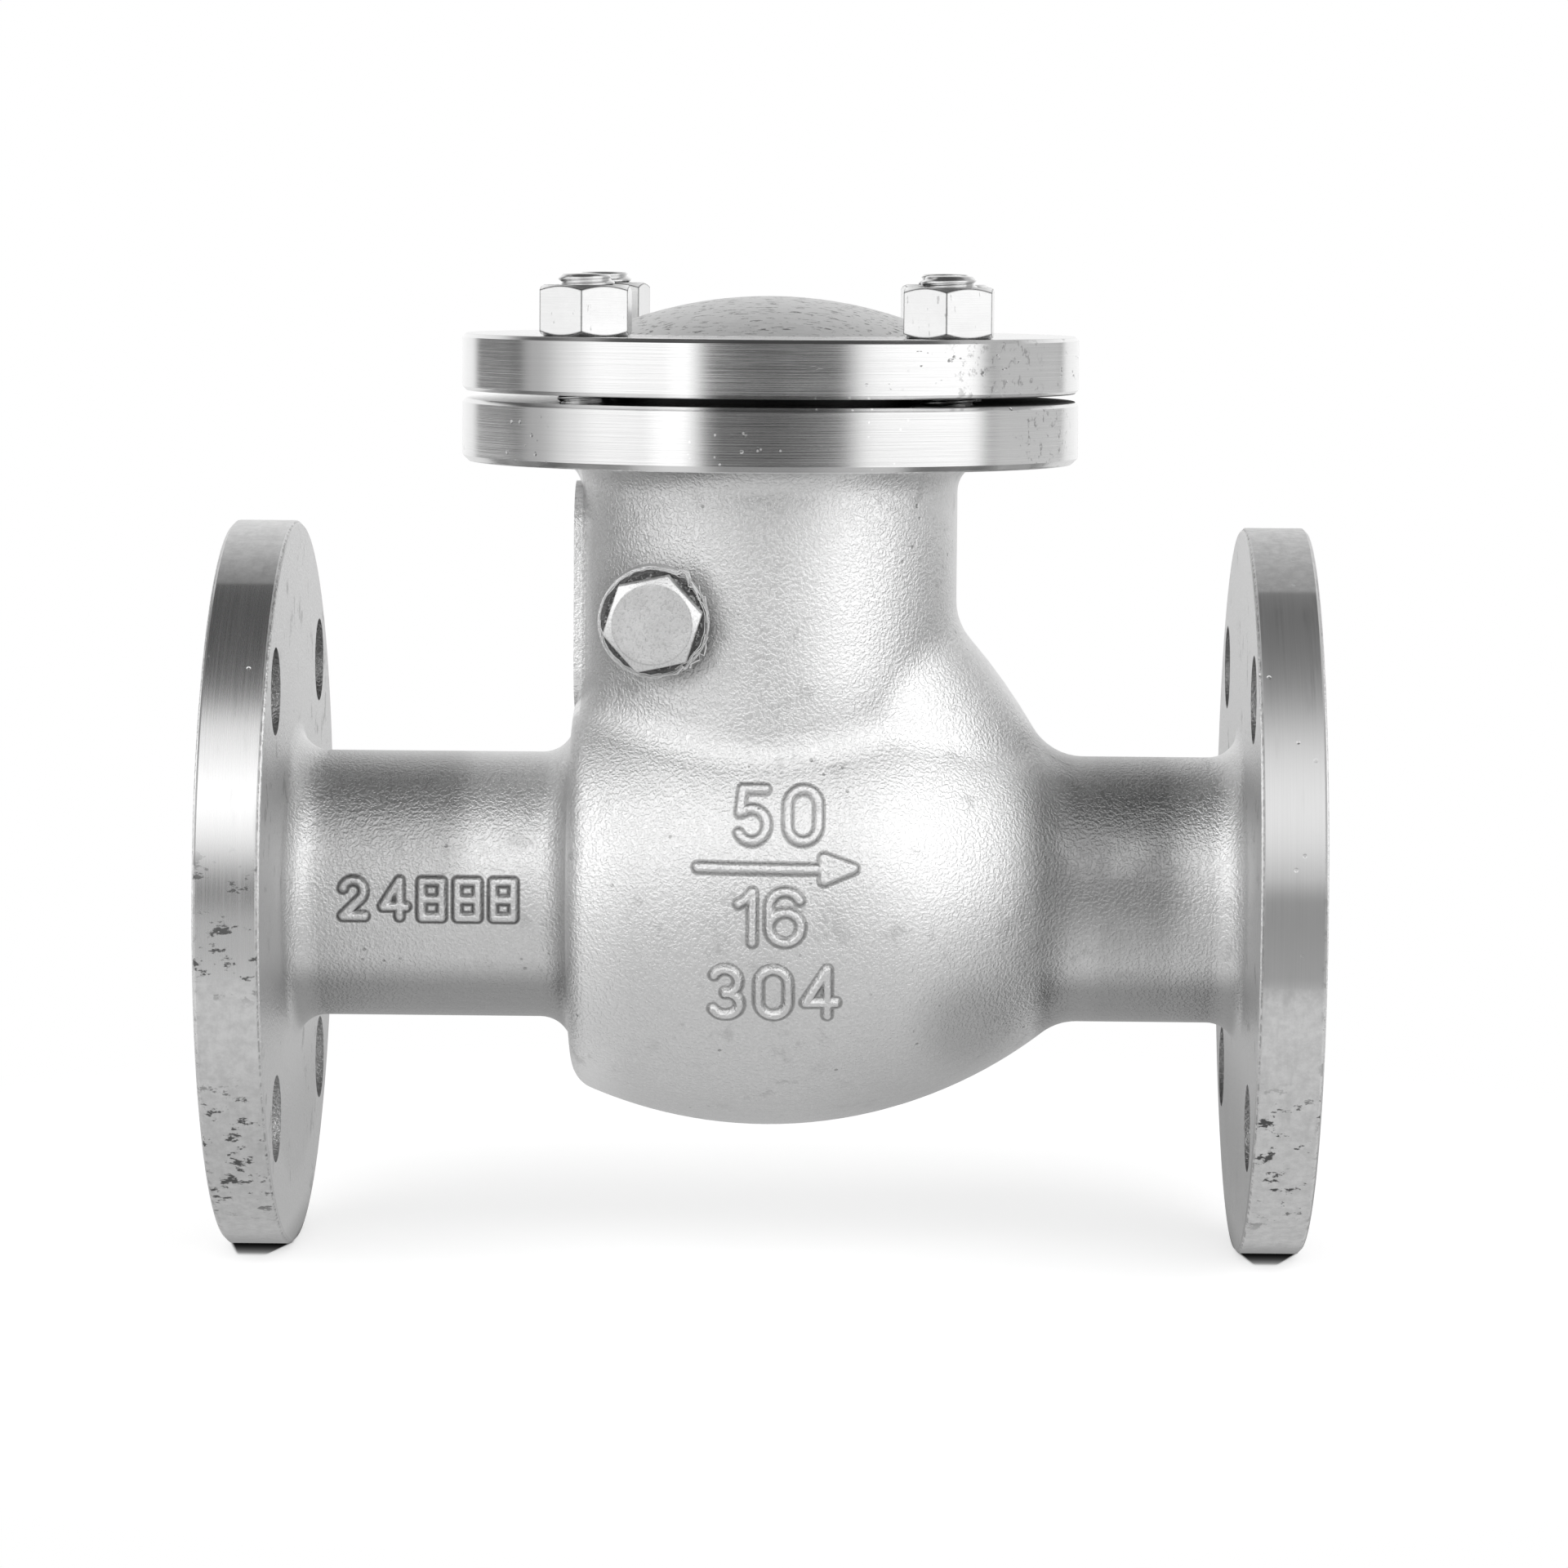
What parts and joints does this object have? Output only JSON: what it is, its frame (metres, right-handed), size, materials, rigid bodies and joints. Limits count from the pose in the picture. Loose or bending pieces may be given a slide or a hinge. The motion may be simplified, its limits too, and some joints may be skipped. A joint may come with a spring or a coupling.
{
  "type": "swing check valve",
  "caption": "Flanged swing check valve in cast stainless steel, with a bolted domed cover and a hinged disc that opens with the flow.",
  "frame": {"origin": "centre of the inlet's raised sealing face, on the flow axis", "axes": "+X along the flow from inlet to outlet, +Z along the bonnet axis towards the cover, the hinge plug is on the -Y side"},
  "size_m": [0.23, 0.154, 0.207],
  "materials": {
    "cast_body": "blasted casting with turned rims",
    "cast_cover": "blasted casting with turned rims",
    "gasket_sheet": "matt",
    "turned_steel": "turned",
    "plug_steel": "cold formed",
    "sealing_tape": "waxy tape",
    "cast_inside": "blasted casting",
    "soft_seal": "smooth",
    "nut_steel": "cold formed",
    "stud_steel": "rolled thread"
  },
  "bodies": {
    "casing": {"valve_body": "cast_body", "bonnet_cover": "cast_cover", "bonnet_gasket": "gasket_sheet", "bonnet_stud_1": "stud_steel", "bonnet_stud_2": "stud_steel", "bonnet_stud_3": "stud_steel", "bonnet_stud_4": "stud_steel", "bonnet_nut_1": "nut_steel", "bonnet_nut_2": "nut_steel", "bonnet_nut_3": "nut_steel", "bonnet_nut_4": "nut_steel", "hinge_pin": "turned_steel", "hinge_plug": "plug_steel", "plug_seal": "sealing_tape"},
    "flap": {"disc_arm": "cast_inside"},
    "disc": {"valve_disc": "turned_steel", "disc_seal": "soft_seal", "disc_washer": "turned_steel", "disc_nut": "nut_steel", "disc_split_pin": "turned_steel"}
  },
  "joints": [
    {"name": "flap_swing", "type": "hinge", "parent": "casing", "child": "flap", "pos_m": [0.0922, 0, 0.0589], "axis": [0, -1, 0], "range_deg": [0, 55]},
    {"name": "disc_spin", "type": "hinge", "parent": "flap", "child": "disc", "pos_m": [0.1, 0, 0], "axis": [1, 0, 0], "continuous": true}
  ]
}
